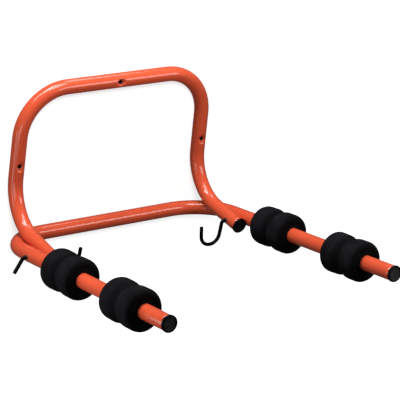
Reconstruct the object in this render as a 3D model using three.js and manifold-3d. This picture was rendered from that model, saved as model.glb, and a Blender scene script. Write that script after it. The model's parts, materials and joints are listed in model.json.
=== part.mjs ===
// Folding wall rack for two bicycles: a bent tube frame that screws to the wall, a U of tube that hinges on it
// and carries four foam grips, and two wire hooks whose shanks are the hinge pins.
// Millimetres and degrees. X is to the right seen from the front, +Y goes into the wall, Z is up.
// The origin is on the wall plane, behind the middle screw hole of the top bar.

import * as THREE from "three";
import { mergeVertices } from "three/addons/utils/BufferGeometryUtils.js";
import Module from "manifold-3d";

// Tube stock, the same for the frame and the arms
const TUBE_OUTER = 25.8;
const TUBE_WALL = 1.5;

// Frame: top bar, two legs against the wall, two feet that bend forward over the crossbar
const FRAME_HALF_WIDTH = 183;
const FRAME_RISE = 260;
const FRAME_BEND_RADIUS = 84;
const LEG_SPLAY = 1.3;
const FOOT_BEND_RADIUS = 81;
const FOOT_DROP = 5;
const FOOT_OVERHANG = 23;

// Wall screws: one in the top bar, one in each leg, each in a pressed dimple
const SCREW_DROP = 130;
const SCREW_HOLE = 6.5;
const DIMPLE_MOUTH = 18;
const DIMPLE_DEPTH = 5;

// Pivot: the hook shanks run through foot and arm, side by side
const PIVOT_REACH = 135;
const PIVOT_SIDE_GAP = 0.8;
const PIVOT_CLEARANCE = 0.3;

// Arms: a crossbar behind, bent forward on both sides into the two arms
const CROSSBAR_STANDOFF = 11.6;
const ARM_BEND_RADIUS = 82;
const ARM_TILT = 10.6;
const ARM_TOE_OUT = 0.45;
const ARM_LENGTH = 514;

// End caps, pushed into the four tube ends
const CAP_HEAD = 3.5;
const CAP_OVERHANG = 1;
const CAP_EDGE = 1.2;
const CAP_STEM = 14;
const CAP_WALL = 1.6;
const CAP_BARB = 0.5;
const CAP_BARBS = 2;
const CAP_FIT = 0.3;
const SEAT_GAP = 0.3;

// Foam grips: two round lobes with a valley between, slid along each arm
const GRIP_OUTER = 69;
const GRIP_LENGTH = 84;
const GRIP_EDGE_RADIUS = 10;
const GRIP_VALLEY = 60;
const GRIP_VALLEY_WIDTH = 34;
const GRIP_FIT = 0.3;
const REAR_GRIP_FROM_CORNER = { left: 230, right: 212 };
const FRONT_GRIP_FROM_TIP = { left: 105, right: 109.5 };

// Hooks: a tail outside the arm, the shank through both tubes, and a J on the inner side
const WIRE = 6.6;
const WIRE_BEND_RADIUS = 6;
const TAIL_STUB = 6.5;
const TAIL_LENGTH = 30;
const TAIL_DROP = 60.5;
const HOOK_STUB = 7.6;
const HOOK_DEPTH = 42.6;
const HOOK_MOUTH = 44.2;
const HOOK_LEG_LEAN = 5.5;
const HOOK_TIP_LEAN = 6.5;
const HOOK_BOWL_RADII = [18.5, 20.5];
const HOOK_TIP_DROP = { left: 0.5, right: 5 };

// Facets: sides of each round section, degrees for each step of a bend, and steps in the grips' edges and valley
const TUBE_SIDES = 24;
const BORE_SIDES = 12;
const WIRE_SIDES = 10;
const HOLE_SIDES = 12;
const TURN_SIDES = 20;
const BEND_STEP = 10;
const WIRE_BEND_STEP = 15;
const EDGE_STEPS = 4;
const VALLEY_STEPS = 6;

// How far a drill or cone runs past what it cuts, and how close two corners are one
const OVERRUN = 2;
const MERGE_WITHIN = 1e-4;

const radians = THREE.MathUtils.degToRad;
const TUBE_RADIUS = TUBE_OUTER / 2;
const BORE_RADIUS = TUBE_RADIUS - TUBE_WALL;

const wasm = await Module();
wasm.setup();

// Materials
const paint = new THREE.MeshStandardMaterial({ color: 0xf0512f, roughness: 0.25, metalness: 0.1 });
const foam = new THREE.MeshStandardMaterial({ color: 0x141416, roughness: 0.95, metalness: 0 });
const plastic = new THREE.MeshStandardMaterial({ color: 0x161618, roughness: 0.6, metalness: 0 });
const coatedWire = new THREE.MeshStandardMaterial({ color: 0x101012, roughness: 0.5, metalness: 0.2 });

// A polygon drawn around a circle of this radius, with a flat side square to each of its axes
function polygonAround(radius, sides, Path = THREE.Path) {
  const corner = radius / Math.cos(Math.PI / sides);
  const path = new Path();
  for (let i = 0; i < sides; i++) {
    const angle = ((2 * i + 1) * Math.PI) / sides;
    const [x, y] = [corner * Math.cos(angle), corner * Math.sin(angle)];
    i ? path.lineTo(x, y) : path.moveTo(x, y);
  }
  path.closePath();
  return path;
}

// The centre line of a bent tube or wire: straight runs between corners, each corner rounded by its radius.
// It keeps its own stations, few on the straights and one every few degrees in a bend, and turns its section as
// little as it can, starting from a chosen normal at a chosen station.
class BentLine extends THREE.Curve {
  constructor(corners, radii, step, normal) {
    super();
    this.stations = [];
    const direction = (i) => corners[i + 1].clone().sub(corners[i]).normalize();
    this.add(corners[0], direction(0));
    for (let i = 1; i < corners.length - 1; i++) {
      const [before, after] = [direction(i - 1), direction(i)];
      const turn = before.angleTo(after);
      const setback = radii[i - 1] * Math.tan(turn / 2);
      const inward = after.clone().sub(before.clone().multiplyScalar(before.dot(after))).normalize();
      const start = corners[i].clone().addScaledVector(before, -setback);
      const steps = Math.max(1, Math.round(turn / radians(step)));
      for (let k = 0; k <= steps; k++) {
        const angle = (turn * k) / steps;
        const point = start
          .clone()
          .addScaledVector(before, radii[i - 1] * Math.sin(angle))
          .addScaledVector(inward, radii[i - 1] * (1 - Math.cos(angle)));
        const tangent = before.clone().multiplyScalar(Math.cos(angle)).addScaledVector(inward, Math.sin(angle));
        this.add(point, tangent);
      }
    }
    this.add(corners.at(-1), direction(corners.length - 2));
    this.normal = normal;
    this.middle = Math.floor(this.stations.length / 2);
  }

  add(point, tangent) {
    this.stations.push({ point: point.clone(), tangent: tangent.clone().normalize() });
  }

  get steps() {
    return this.stations.length - 1;
  }

  getPointAt(u, target = new THREE.Vector3()) {
    return target.copy(this.stations[Math.round(u * this.steps)].point);
  }

  getTangentAt(u, target = new THREE.Vector3()) {
    return target.copy(this.stations[Math.round(u * this.steps)].tangent);
  }

  computeFrenetFrames() {
    const tangents = this.stations.map((s) => s.tangent);
    const normals = new Array(tangents.length);
    const square = (vector, tangent) => vector.addScaledVector(tangent, -vector.dot(tangent)).normalize();
    normals[this.middle] = square(this.normal.clone(), tangents[this.middle]);
    const carry = (from, to) => {
      const turn = new THREE.Quaternion().setFromUnitVectors(tangents[from], tangents[to]);
      normals[to] = square(normals[from].clone().applyQuaternion(turn), tangents[to]);
    };
    for (let i = this.middle + 1; i < tangents.length; i++) carry(i - 1, i);
    for (let i = this.middle - 1; i >= 0; i--) carry(i + 1, i);
    const binormals = tangents.map((t, i) => t.clone().cross(normals[i]));
    return { tangents, normals, binormals };
  }
}

function sweep(shape, line) {
  return new THREE.ExtrudeGeometry(shape, { steps: line.steps, extrudePath: line, bevelEnabled: false });
}

// Solids for joining and cutting
function solid(geometry) {
  const bare = new THREE.BufferGeometry().setAttribute("position", geometry.getAttribute("position"));
  bare.setIndex(geometry.index);
  const merged = mergeVertices(bare, MERGE_WITHIN);
  return new wasm.Manifold(
    new wasm.Mesh({
      numProp: 3,
      vertProperties: merged.attributes.position.array,
      triVerts: new Uint32Array(merged.index.array),
    }),
  );
}

function geometryOf(manifold) {
  const mesh = manifold.getMesh();
  const geometry = new THREE.BufferGeometry();
  geometry.setAttribute("position", new THREE.BufferAttribute(mesh.vertProperties, 3));
  geometry.setIndex(new THREE.BufferAttribute(mesh.triVerts, 1));
  geometry.computeVertexNormals();
  return geometry;
}

function mesh(name, geometry, material) {
  const made = new THREE.Mesh(geometry, material);
  made.name = name;
  return made;
}

// Heights and places that follow from the sizes
const legY = -TUBE_RADIUS;
const crossbarY = -CROSSBAR_STANDOFF - TUBE_RADIUS;
const pivotY = -PIVOT_REACH;
const pivotZ = (PIVOT_REACH + crossbarY) * Math.tan(radians(ARM_TILT)) - FRAME_RISE;
const footCornerZ = pivotZ + (PIVOT_REACH + legY) * Math.tan(radians(FOOT_DROP));
const legX = (z) => FRAME_HALF_WIDTH - z * Math.tan(radians(LEG_SPLAY));
const footX = legX(footCornerZ);
const pivotArmX = footX + TUBE_OUTER + PIVOT_SIDE_GAP;

// Direction of the foot and the arm on one side: side is -1 on the left and 1 on the right
const footDirection = new THREE.Vector3(0, -Math.cos(radians(FOOT_DROP)), -Math.sin(radians(FOOT_DROP)));

function armDirection(side) {
  const level = Math.cos(radians(ARM_TILT));
  return new THREE.Vector3(
    side * level * Math.tan(radians(ARM_TOE_OUT)),
    -level,
    Math.sin(radians(ARM_TILT)),
  ).normalize();
}

function pivotOnFoot(side) {
  return new THREE.Vector3(side * footX, pivotY, pivotZ);
}

function pivotOnArm(side) {
  return new THREE.Vector3(side * pivotArmX, pivotY, pivotZ);
}

function footEnd(side) {
  return pivotOnFoot(side).addScaledVector(footDirection, FOOT_OVERHANG);
}

// The corner where an arm's axis meets the crossbar's, before it is rounded
function armCorner(side) {
  const direction = armDirection(side);
  return pivotOnArm(side).addScaledVector(direction, (crossbarY - pivotY) / direction.y);
}

function armPoint(side, distance) {
  return armCorner(side).addScaledVector(armDirection(side), distance);
}

function tubeShape() {
  const shape = polygonAround(TUBE_RADIUS, TUBE_SIDES, THREE.Shape);
  shape.holes.push(polygonAround(BORE_RADIUS, BORE_SIDES));
  return shape;
}

// Frame tube
function frameLine() {
  const corner = (side) => new THREE.Vector3(side * FRAME_HALF_WIDTH, legY, 0);
  const footCorner = (side) => new THREE.Vector3(side * footX, legY, footCornerZ);
  return new BentLine(
    [footEnd(-1), footCorner(-1), corner(-1), corner(1), footCorner(1), footEnd(1)],
    [FOOT_BEND_RADIUS, FRAME_BEND_RADIUS, FRAME_BEND_RADIUS, FOOT_BEND_RADIUS],
    BEND_STEP,
    new THREE.Vector3(0, 1, 0),
  );
}

// A cone square to the wall, narrow towards it, grown by so much to all sides, from the front of the tube
function dimpleCone(x, z, grow) {
  const slope = (DIMPLE_MOUTH - SCREW_HOLE) / 2 / DIMPLE_DEPTH;
  const [front, back] = [-TUBE_OUTER - OVERRUN, -TUBE_OUTER + DIMPLE_DEPTH + grow];
  const radiusAt = (y) => SCREW_HOLE / 2 + grow + slope * (-TUBE_OUTER + DIMPLE_DEPTH + grow - y);
  const cone = new THREE.CylinderGeometry(radiusAt(back), radiusAt(front), back - front, HOLE_SIDES);
  return solid(cone.translate(x, (front + back) / 2, z));
}

function screwHole(x, z) {
  const length = TUBE_OUTER + 2 * OVERRUN;
  const drill = new THREE.CylinderGeometry(SCREW_HOLE / 2, SCREW_HOLE / 2, length, HOLE_SIDES);
  return solid(drill.translate(x, -TUBE_OUTER / 2, z));
}

function pivotHole(centre) {
  const radius = (WIRE / 2 + PIVOT_CLEARANCE) / Math.cos(Math.PI / HOLE_SIDES);
  const drill = new THREE.CylinderGeometry(radius, radius, TUBE_OUTER + 2 * OVERRUN, HOLE_SIDES);
  return solid(drill.rotateZ(Math.PI / 2).translate(...centre));
}

function frameTube() {
  const line = frameLine();
  const full = solid(sweep(polygonAround(TUBE_RADIUS, TUBE_SIDES, THREE.Shape), line));
  let tube = solid(sweep(tubeShape(), line));
  const screws = [
    [0, 0],
    [-legX(-SCREW_DROP), -SCREW_DROP],
    [legX(-SCREW_DROP), -SCREW_DROP],
  ];
  for (const [x, z] of screws) {
    tube = tube
      .add(dimpleCone(x, z, TUBE_WALL).intersect(full))
      .subtract(dimpleCone(x, z, 0))
      .subtract(screwHole(x, z));
  }
  for (const side of [-1, 1]) tube = tube.subtract(pivotHole(pivotOnFoot(side)));
  return mesh("frame_tube", geometryOf(tube), paint);
}

// Arm tube
function armTube() {
  const line = new BentLine(
    [armPoint(-1, ARM_LENGTH), armCorner(-1), armCorner(1), armPoint(1, ARM_LENGTH)],
    [ARM_BEND_RADIUS, ARM_BEND_RADIUS],
    BEND_STEP,
    new THREE.Vector3(0, 1, 0),
  );
  let tube = solid(sweep(tubeShape(), line));
  for (const side of [-1, 1]) tube = tube.subtract(pivotHole(pivotOnArm(side)));
  return mesh("arm_tube", geometryOf(tube), paint);
}

// A piece turned about its own Y axis, set on a line through a point
function turned(name, profile, material, point, direction) {
  const piece = mesh(name, new THREE.LatheGeometry(profile, TURN_SIDES), material);
  piece.position.copy(point);
  piece.quaternion.setFromUnitVectors(new THREE.Vector3(0, 1, 0), direction);
  return piece;
}

// End cap: a head a little wider than the tube, with a broken edge, and a hollow stem with barbs
function endCap(name, end, direction) {
  const head = TUBE_RADIUS + CAP_OVERHANG;
  const stem = BORE_RADIUS - CAP_FIT - CAP_BARB;
  const barb = stem + CAP_BARB;
  const pitch = CAP_STEM / (CAP_BARBS + 1);
  const profile = [
    [0, CAP_HEAD],
    [head - CAP_EDGE, CAP_HEAD],
    [head, CAP_HEAD - CAP_EDGE],
    [head, 0],
    [stem, 0],
  ];
  for (let i = 1; i <= CAP_BARBS; i++) {
    profile.push([stem, -(i - 1 / 2) * pitch], [barb, -(i - 1 / 2) * pitch], [stem, -i * pitch]);
  }
  profile.push([stem, -CAP_STEM], [stem - CAP_WALL, -CAP_STEM], [stem - CAP_WALL, -CAP_WALL], [0, -CAP_WALL]);
  const points = profile.map(([r, y]) => new THREE.Vector2(r, y + SEAT_GAP)).reverse();
  return turned(name, points, plastic, end, direction);
}

// Foam grip: a round bar with rounded ends, its middle drawn in by one wave of a cosine
function grip(name, side, distance) {
  const bore = (TUBE_RADIUS / Math.cos(Math.PI / TUBE_SIDES) + GRIP_FIT) / Math.cos(Math.PI / TURN_SIDES);
  const [outer, end, edge] = [GRIP_OUTER / 2, GRIP_LENGTH / 2, GRIP_EDGE_RADIUS];
  const half = [];
  for (let i = 0; i <= EDGE_STEPS; i++) {
    const angle = ((Math.PI / 2) * i) / EDGE_STEPS;
    half.push([outer - edge * (1 - Math.sin(angle)), end - edge * (1 - Math.cos(angle))]);
  }
  for (let i = VALLEY_STEPS; i > 0; i--) {
    const depth = ((outer - GRIP_VALLEY / 2) * (1 + Math.cos((Math.PI * i) / VALLEY_STEPS))) / 2;
    half.push([outer - depth, (i / VALLEY_STEPS) * (GRIP_VALLEY_WIDTH / 2)]);
  }
  const lower = half.map(([r, y]) => [r, -y]);
  const profile = [[bore, -end], ...lower, [GRIP_VALLEY / 2, 0], ...half.reverse(), [bore, end], [bore, -end]];
  const points = profile.map(([r, y]) => new THREE.Vector2(r, y));
  return turned(name, points, foam, armPoint(side, distance), armDirection(side));
}

// Hook: tail, shank and J in one frontal plane through the pivot
function hook(name, side, tipDrop) {
  const inner = footX - TUBE_RADIUS - HOOK_STUB;
  const outer = pivotArmX + TUBE_RADIUS + TAIL_STUB;
  const at = (x, z) => new THREE.Vector3(side * x, pivotY, pivotZ + z);
  const tip = inner - HOOK_MOUTH;
  const line = new BentLine(
    [
      at(outer + TAIL_LENGTH * Math.cos(radians(TAIL_DROP)), -TAIL_LENGTH * Math.sin(radians(TAIL_DROP))),
      at(outer, 0),
      at(inner, 0),
      at(inner - HOOK_DEPTH * Math.tan(radians(HOOK_LEG_LEAN)), -HOOK_DEPTH),
      at(tip + HOOK_DEPTH * Math.tan(radians(HOOK_TIP_LEAN)), -HOOK_DEPTH),
      at(tip + tipDrop * Math.tan(radians(HOOK_TIP_LEAN)), -tipDrop),
    ],
    [WIRE_BEND_RADIUS, WIRE_BEND_RADIUS, ...HOOK_BOWL_RADII],
    WIRE_BEND_STEP,
    new THREE.Vector3(0, 1, 0),
  );
  const section = polygonAround((WIRE / 2) * Math.cos(Math.PI / WIRE_SIDES), WIRE_SIDES, THREE.Shape);
  return mesh(name, sweep(section, line), coatedWire);
}

// The rack
const frame = new THREE.Group();
frame.add(frameTube());
const arms = new THREE.Group();
arms.add(armTube());
const rack = new THREE.Group();
rack.add(frame, arms);
for (const [sideName, side] of [
  ["left", -1],
  ["right", 1],
]) {
  frame.add(endCap(sideName + "_frame_cap", footEnd(side), footDirection));
  arms.add(endCap(sideName + "_arm_cap", armPoint(side, ARM_LENGTH), armDirection(side)));
  arms.add(grip(sideName + "_rear_grip", side, REAR_GRIP_FROM_CORNER[sideName]));
  arms.add(grip(sideName + "_front_grip", side, ARM_LENGTH - FRONT_GRIP_FROM_TIP[sideName]));
  rack.add(hook(sideName + "_hook", side, HOOK_TIP_DROP[sideName]));
}

export default rack;
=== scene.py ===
"""A folding wall rack for two bicycles: two bent tubes in orange paint, foam grips, end caps and wire hooks.

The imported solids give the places. This script makes each piece again as a smooth surface in its place, gives it
its finish, and sets it against a white wall in plain studio light.
"""

import json
import math
from collections import namedtuple

import bmesh
import bpy
import numpy as np
from bpy.props import FloatProperty, FloatVectorProperty, IntProperty, PointerProperty
from mathutils import Matrix

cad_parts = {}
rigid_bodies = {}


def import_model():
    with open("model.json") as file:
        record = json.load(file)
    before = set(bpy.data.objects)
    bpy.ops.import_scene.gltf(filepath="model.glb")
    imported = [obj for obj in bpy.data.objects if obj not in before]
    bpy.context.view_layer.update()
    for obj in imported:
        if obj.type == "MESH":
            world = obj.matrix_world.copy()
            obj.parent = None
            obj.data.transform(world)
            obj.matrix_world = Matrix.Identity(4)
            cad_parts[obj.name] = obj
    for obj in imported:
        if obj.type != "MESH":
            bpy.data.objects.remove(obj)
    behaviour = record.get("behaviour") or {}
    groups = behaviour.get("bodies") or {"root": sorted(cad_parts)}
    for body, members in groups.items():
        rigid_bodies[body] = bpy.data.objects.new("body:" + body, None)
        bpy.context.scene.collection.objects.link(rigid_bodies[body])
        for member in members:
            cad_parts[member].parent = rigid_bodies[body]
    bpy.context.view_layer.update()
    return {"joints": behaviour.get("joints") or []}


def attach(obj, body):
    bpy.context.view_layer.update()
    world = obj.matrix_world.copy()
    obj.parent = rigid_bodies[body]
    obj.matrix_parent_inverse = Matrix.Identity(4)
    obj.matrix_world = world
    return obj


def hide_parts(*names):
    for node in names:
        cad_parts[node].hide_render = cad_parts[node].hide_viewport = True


bl_info = {
    "name": "Folding Bike Wall Rack",
    "version": (1, 0, 0),
    "blender": (4, 5, 0),
    "location": "3D View > Sidebar > Wall Rack",
    "description": "Builds a tube wall rack for two bicycles with grips, caps and hooks, and a plain studio",
    "category": "Object",
}

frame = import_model()
JOINTS = {joint["name"]: joint for joint in frame["joints"]}
PIVOT_Y, PIVOT_Z = JOINTS["arms_fold"]["pos_m"][1:]
FOOT_X = JOINTS["right_hook_swing"]["pos_m"][0]
SIDES = {"left": -1, "right": 1}

# Half the width, in cells of a tube's grid, of a hole and of the patch whose lines are moved to run round it
HOLE_HALF = 2
PATCH_HALF = 6

# The long waves in a grip's skin: how often round the grip, and radians for each metre along it
SKIN_WAVES = ((2, 60), (3, 110), (5, 170), (8, 260))


# What a user may change: sizes in metres, angles in degrees, power in watts, and colours


def plain(name, default, description, **kind):
    return FloatProperty(name=name, description=description, default=default, **kind)


def metres(name, default, description):
    return plain(name, default, description, unit="LENGTH")


def degrees(name, default, description):
    return plain(name, math.radians(default), description, subtype="ANGLE")


def watts(name, default, description):
    return plain(name, default, description, unit="POWER")


def number(name, default, description, least):
    return IntProperty(name=name, description=description, default=default, min=least)


def colour(name, default, description):
    return FloatVectorProperty(name=name, description=description, default=default, size=3, subtype="COLOR")


class TubeSizes(bpy.types.PropertyGroup):
    outer: metres("Outer diameter", 0.0258, "Of both bent tubes, over the paint")
    wall: metres("Wall", 0.0015, "Thickness of the tube's wall")
    half_width: metres("Half width", 0.183, "From the middle to a leg's axis at the top")
    top_bend: metres("Top bend", 0.084, "Radius of the frame's top bends")
    leg_splay: degrees("Leg splay", 1.3, "How far the legs lean outwards")
    foot_bend: metres("Foot bend", 0.081, "Radius where a leg becomes a foot")
    foot_drop: degrees("Foot drop", 5, "How far a foot points below level")
    foot_overhang: metres("Foot overhang", 0.023, "From the pivot to a foot's end")
    crossbar_gap: metres("Crossbar gap", 0.0116, "From the wall to the crossbar's back")
    arm_bend: metres("Arm bend", 0.082, "Radius where the crossbar becomes an arm")
    arm_tilt: degrees("Arm tilt", 10.6, "How far the arms rise above level")
    arm_toe_out: degrees("Arm toe-out", 0.45, "How far each arm turns outwards")
    arm_length: metres("Arm length", 0.514, "From the arm's corner to its end")
    side_gap: metres("Side gap", 0.0008, "Between foot and arm")
    lip: metres("Lip", 0.0003, "How far edges of tube and holes are broken")
    sides: number("Sides", 64, "Faces round a tube", 16)
    straight_step: metres("Straight step", 0.006, "Between rings on a straight run")
    bend_step: degrees("Bend step", 2.5, "Between rings in a bend")


class HoleSizes(bpy.types.PropertyGroup):
    screw: metres("Screw hole", 0.0065, "Diameter")
    screw_drop: metres("Screw drop", 0.130, "From the top bar's axis to the holes in the legs")
    dimple_mouth: metres("Dimple mouth", 0.018, "Diameter of the pressed dimple at the front")
    dimple_depth: metres("Dimple depth", 0.005, "From its mouth to the hole")
    dimple_fillet: metres("Dimple fillet", 0.0012, "How softly the dimple runs into the tube")
    pin_clearance: metres("Pin clearance", 0.0003, "Round the wire in its holes")


class HookSizes(bpy.types.PropertyGroup):
    wire: metres("Wire", 0.0066, "Diameter over its coat")
    tight_bend: metres("Tight bend", 0.006, "Radius beside the tubes")
    tail_stub: metres("Tail stub", 0.0065, "From the arm to the tail's corner")
    tail_length: metres("Tail length", 0.030, "Beyond its corner")
    tail_drop: degrees("Tail drop", 60.5, "How steeply the tail points down")
    stub: metres("Hook stub", 0.0076, "From the foot to the hook's corner")
    depth: metres("Depth", 0.0426, "From the pin to the hook's bottom")
    mouth: metres("Mouth", 0.0442, "From the hook's corner to its tip")
    leg_lean: degrees("Leg lean", 5.5, "Of the hook's long leg")
    tip_lean: degrees("Tip lean", 6.5, "Of the hook's tip")
    leg_bowl: metres("Leg bowl", 0.0185, "Radius of the bend below the leg")
    tip_bowl: metres("Tip bowl", 0.0205, "Radius of the bend below the tip")
    left_drop: metres("Left tip drop", 0.0005, "From the pin down to the tip")
    right_drop: metres("Right tip drop", 0.005, "From the pin down to the tip")
    end_round: metres("End round", 0.0012, "Radius at the cut ends")
    sides: number("Sides", 32, "Faces round the wire", 12)
    bend_step: degrees("Bend step", 5, "Between rings in a bend")


class CapSizes(bpy.types.PropertyGroup):
    head: metres("Head", 0.00347, "Thickness of the visible head")
    overhang: metres("Overhang", 0.001, "Of the head over the tube")
    edge: metres("Edge", 0.0012, "Radius at the head's edge")
    rim: metres("Rim", 0.0034, "Width of the raised rim")
    dish: metres("Dish", 0.0006, "How far the face lies below the rim")
    stem: metres("Stem", 0.014, "Length inside the tube")
    stem_wall: metres("Stem wall", 0.0016, "Thickness of the hollow stem")
    barb: metres("Barb", 0.0005, "How far the ribs on the stem stand out")
    barbs: number("Barbs", 2, "Ribs on the stem", 1)
    fit: metres("Fit", 0.0003, "Gap between rib and bore, and under the head")
    sides: number("Sides", 96, "Faces round a cap", 16)


class GripSizes(bpy.types.PropertyGroup):
    outer: metres("Outer diameter", 0.069, "At its widest")
    length: metres("Length", 0.084, "Along the tube")
    shoulder: metres("Shoulder", 0.010, "Radius at both ends")
    valley: metres("Valley diameter", 0.060, "At its middle")
    valley_width: metres("Valley width", 0.034, "Along the tube")
    dish: metres("Dish", 0.0012, "How far the cut ends hollow in")
    fit: metres("Fit", 0.0003, "Gap between the foam and the tube")
    bore_edge: metres("Bore edge", 0.0015, "Radius at the mouth of the bore")
    waviness: metres("Waviness", 0.0003, "Unevenness of the foam's skin")
    left_rear: metres("Left rear", 0.230, "From the arm's corner")
    right_rear: metres("Right rear", 0.212, "From the arm's corner")
    left_front: metres("Left front", 0.105, "Back from the arm's end")
    right_front: metres("Right front", 0.1095, "Back from the arm's end")
    sides: number("Sides", 144, "Faces round a grip", 24)
    rings: number("Rings", 80, "Along the grip, from shoulder to shoulder", 12)


class Finishes(bpy.types.PropertyGroup):
    paint: colour("Paint", (0.82, 0.107, 0.042), "Colour of both tubes")
    primer: colour("Primer", (0.16, 0.12, 0.11), "What shows where the paint is rubbed")
    foam: colour("Foam", (0.0022, 0.0021, 0.0026), "Colour of the grips")
    # The foam dust grey also serves as painted light on the lobes of the grips.
    foam_dust_and_lobe_light: colour("Foam dust", (0.0105, 0.0100, 0.0125), "Grey of the foam's dry skin")
    plastic: colour("Plastic", (0.004, 0.004, 0.0045), "Colour of the end caps")
    # The cap face grey is painted light: the face inside the rim shows lighter than the black rim.
    cap_face_painted_light: colour("Cap face", (0.03, 0.031, 0.034), "Greyer plastic inside a cap's rim")
    wire: colour("Wire coat", (0.0018, 0.0018, 0.0021), "Colour of the hooks")
    steel: colour("Steel", (0.30, 0.29, 0.28), "Bare metal where the coat has worn")


class Studio(bpy.types.PropertyGroup):
    aim: FloatVectorProperty(
        name="Aim", description="The point at the middle of the picture", size=3, subtype="TRANSLATION",
        default=(0.120951, -0.125039, -0.195956), unit="LENGTH",
    )
    azimuth: degrees("Azimuth", -37.41, "Camera's turn to the right")
    elevation: degrees("Elevation", 23.90, "Camera's height above level")
    roll: degrees("Roll", 7.12, "Camera's turn about its axis")
    distance: metres("Distance", 3.14319, "Camera to aim")
    lens: plain("Lens", 162.25, "Focal length in millimetres")
    top_power: watts("Top light", 8.6, "Soft light overhead")
    top_left_power: watts("Top left light", 5.0, "Soft light above on the left")
    right_power: watts("Right light", 3.0, "Soft box at the front right")
    left_power: watts("Left light", 0.85, "Low and close on the left")
    side_power: watts("Side light", 0.7, "On the left, close to the wall")
    back_power: watts("Back light", 1.4, "Rim light from behind")
    wall_power: watts("Wall light", 74, "From the front, on wall and floor only")
    ambient: plain("Ambient", 0.07, "Light from all round")
    wall_lift: plain("Wall lift", 0.74, "Added to the wall so that it shows white")
    floor_lift: plain("Floor lift", 0.9, "Added to the floor so that it shows white")
    wall_zone: FloatVectorProperty(
        name="Wall zone", description="Half width and foot of the part of the wall that shows shade",
        default=(0.22, -0.28), size=2, unit="LENGTH",
    )
    wall_fade: metres("Wall fade", 0.05, "Over which the wall goes to full white beyond its zone")
    floor_height: metres("Floor height", -1.2, "Below the top bar")


# Paths: the centre lines of the bent tubes and the wire


def unit(vector):
    return np.asarray(vector, float) / np.linalg.norm(vector)


def turned(vector, axis, angle):
    """The vector turned about the unit axis: v cos a + (axis x v) sin a + axis (axis . v)(1 - cos a)."""
    angle = np.atleast_1d(angle)[:, None]
    along = axis * (axis @ vector) * (1 - np.cos(angle))
    return vector * np.cos(angle) + np.cross(axis, vector) * np.sin(angle) + along


class BentPath:
    """Straight runs between corners, with an arc of its radius at each corner, tangent to both runs.

    A point of an arc is start + R sin(a) before + R (1 - cos(a)) inward, with the angle a from 0 to the turn.
    The section's normal points at the wall on one run and turns with each arc about its axis, without twist.
    """

    def __init__(self, corners, radii, normal_run):
        corners, radii = np.array(corners, float), np.array(radii, float)
        runs = np.diff(corners, axis=0)
        lengths = np.linalg.norm(runs, axis=1)
        ahead = runs / lengths[:, None]
        axes = np.cross(ahead[:-1], ahead[1:])
        axes /= np.linalg.norm(axes, axis=1)[:, None]
        turns = np.arccos(np.sum(ahead[:-1] * ahead[1:], axis=1))
        setbacks = np.concatenate([[0], radii * np.tan(turns / 2), [0]])
        to_wall = np.array([0.0, 1.0, 0.0])
        normals = [None] * len(ahead)
        normals[normal_run] = unit(to_wall - ahead[normal_run] * (to_wall @ ahead[normal_run]))
        for k in range(normal_run, len(turns)):
            normals[k + 1] = turned(normals[k], axes[k], turns[k])[0]
        for k in range(normal_run, 0, -1):
            normals[k - 1] = turned(normals[k], axes[k - 1], -turns[k - 1])[0]
        self.pieces, total = [], 0.0
        for k, length in enumerate(lengths):
            straight = length - setbacks[k] - setbacks[k + 1]
            start = corners[k] + ahead[k] * setbacks[k]
            self.pieces.append((total, straight, start, ahead[k], None, None, normals[k]))
            total += straight
            if k < len(turns):
                start = corners[k + 1] - ahead[k] * setbacks[k + 1]
                arc = radii[k] * turns[k]
                self.pieces.append((total, arc, start, ahead[k], axes[k], radii[k], normals[k]))
                total += arc
        self.length = total

    def at(self, distance):
        """Points, tangents and normals at these distances along the path, each an array of rows."""
        distance = np.clip(np.asarray(distance, float), 0, self.length)
        starts = np.array([piece[0] for piece in self.pieces])
        which = np.clip(np.searchsorted(starts, distance, side="right") - 1, 0, len(starts) - 1)
        point, tangent, normal = (np.empty((len(distance), 3)) for _ in range(3))
        for k, (begin, _, start, before, axis, radius, side) in enumerate(self.pieces):
            here = which == k
            along = (distance[here] - begin)[:, None]
            if axis is None:
                point[here], tangent[here], normal[here] = start + along * before, before, side
            else:
                angle, inward = along / radius, np.cross(axis, before)
                point[here] = start + radius * (np.sin(angle) * before + (1 - np.cos(angle)) * inward)
                tangent[here] = turned(before, axis, angle[:, 0])
                normal[here] = turned(side, axis, angle[:, 0])
        return point, tangent, normal

    def skin(self, distance, angle, radius):
        """Points P(s) + R (cos(t) N(s) + sin(t) B(s)) at distances s, angles t and radius or radii R."""
        point, tangent, normal = self.at(distance.ravel())
        turn = angle.reshape(-1, 1)
        return point + radius * (np.cos(turn) * normal + np.sin(turn) * np.cross(tangent, normal))

    def nearest(self, point):
        """The distance along the path of the point on a straight run that is nearest to this one."""
        found = []
        for begin, length, start, before, axis, _, _ in self.pieces:
            if axis is None:
                along = np.clip((point - start) @ before, 0, length)
                found.append((np.linalg.norm(start + along * before - point), begin + along))
        return min(found)[1]

    def stations(self, straight_step, bend_step):
        """Distances along the path for the rings of its surface, closer together in the bends."""
        rows = []
        for begin, length, _, _, axis, radius, _ in self.pieces:
            step = straight_step if axis is None else radius * bend_step
            rows.append(begin + np.linspace(0, length, max(2, math.ceil(length / step) + 1)))
        return np.unique(np.concatenate(rows).round(7))


# Surfaces: whole arrays of points and faces, put into a mesh in one go


def grid_faces(rings, keep=None):
    """Quads between neighbouring rings of point numbers, each ring closed on itself; keep leaves some out."""
    after = np.roll(rings, -1, axis=1)
    quads = np.stack([rings[:-1], after[:-1], after[1:], rings[1:]], axis=-1)
    return quads.reshape(-1, 4) if keep is None else quads[keep]


def pole_fan(pole, ring):
    """Triangles from a pole to a ring of point numbers."""
    return np.stack([np.full(len(ring), pole), ring, np.roll(ring, -1)], axis=-1)


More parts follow.
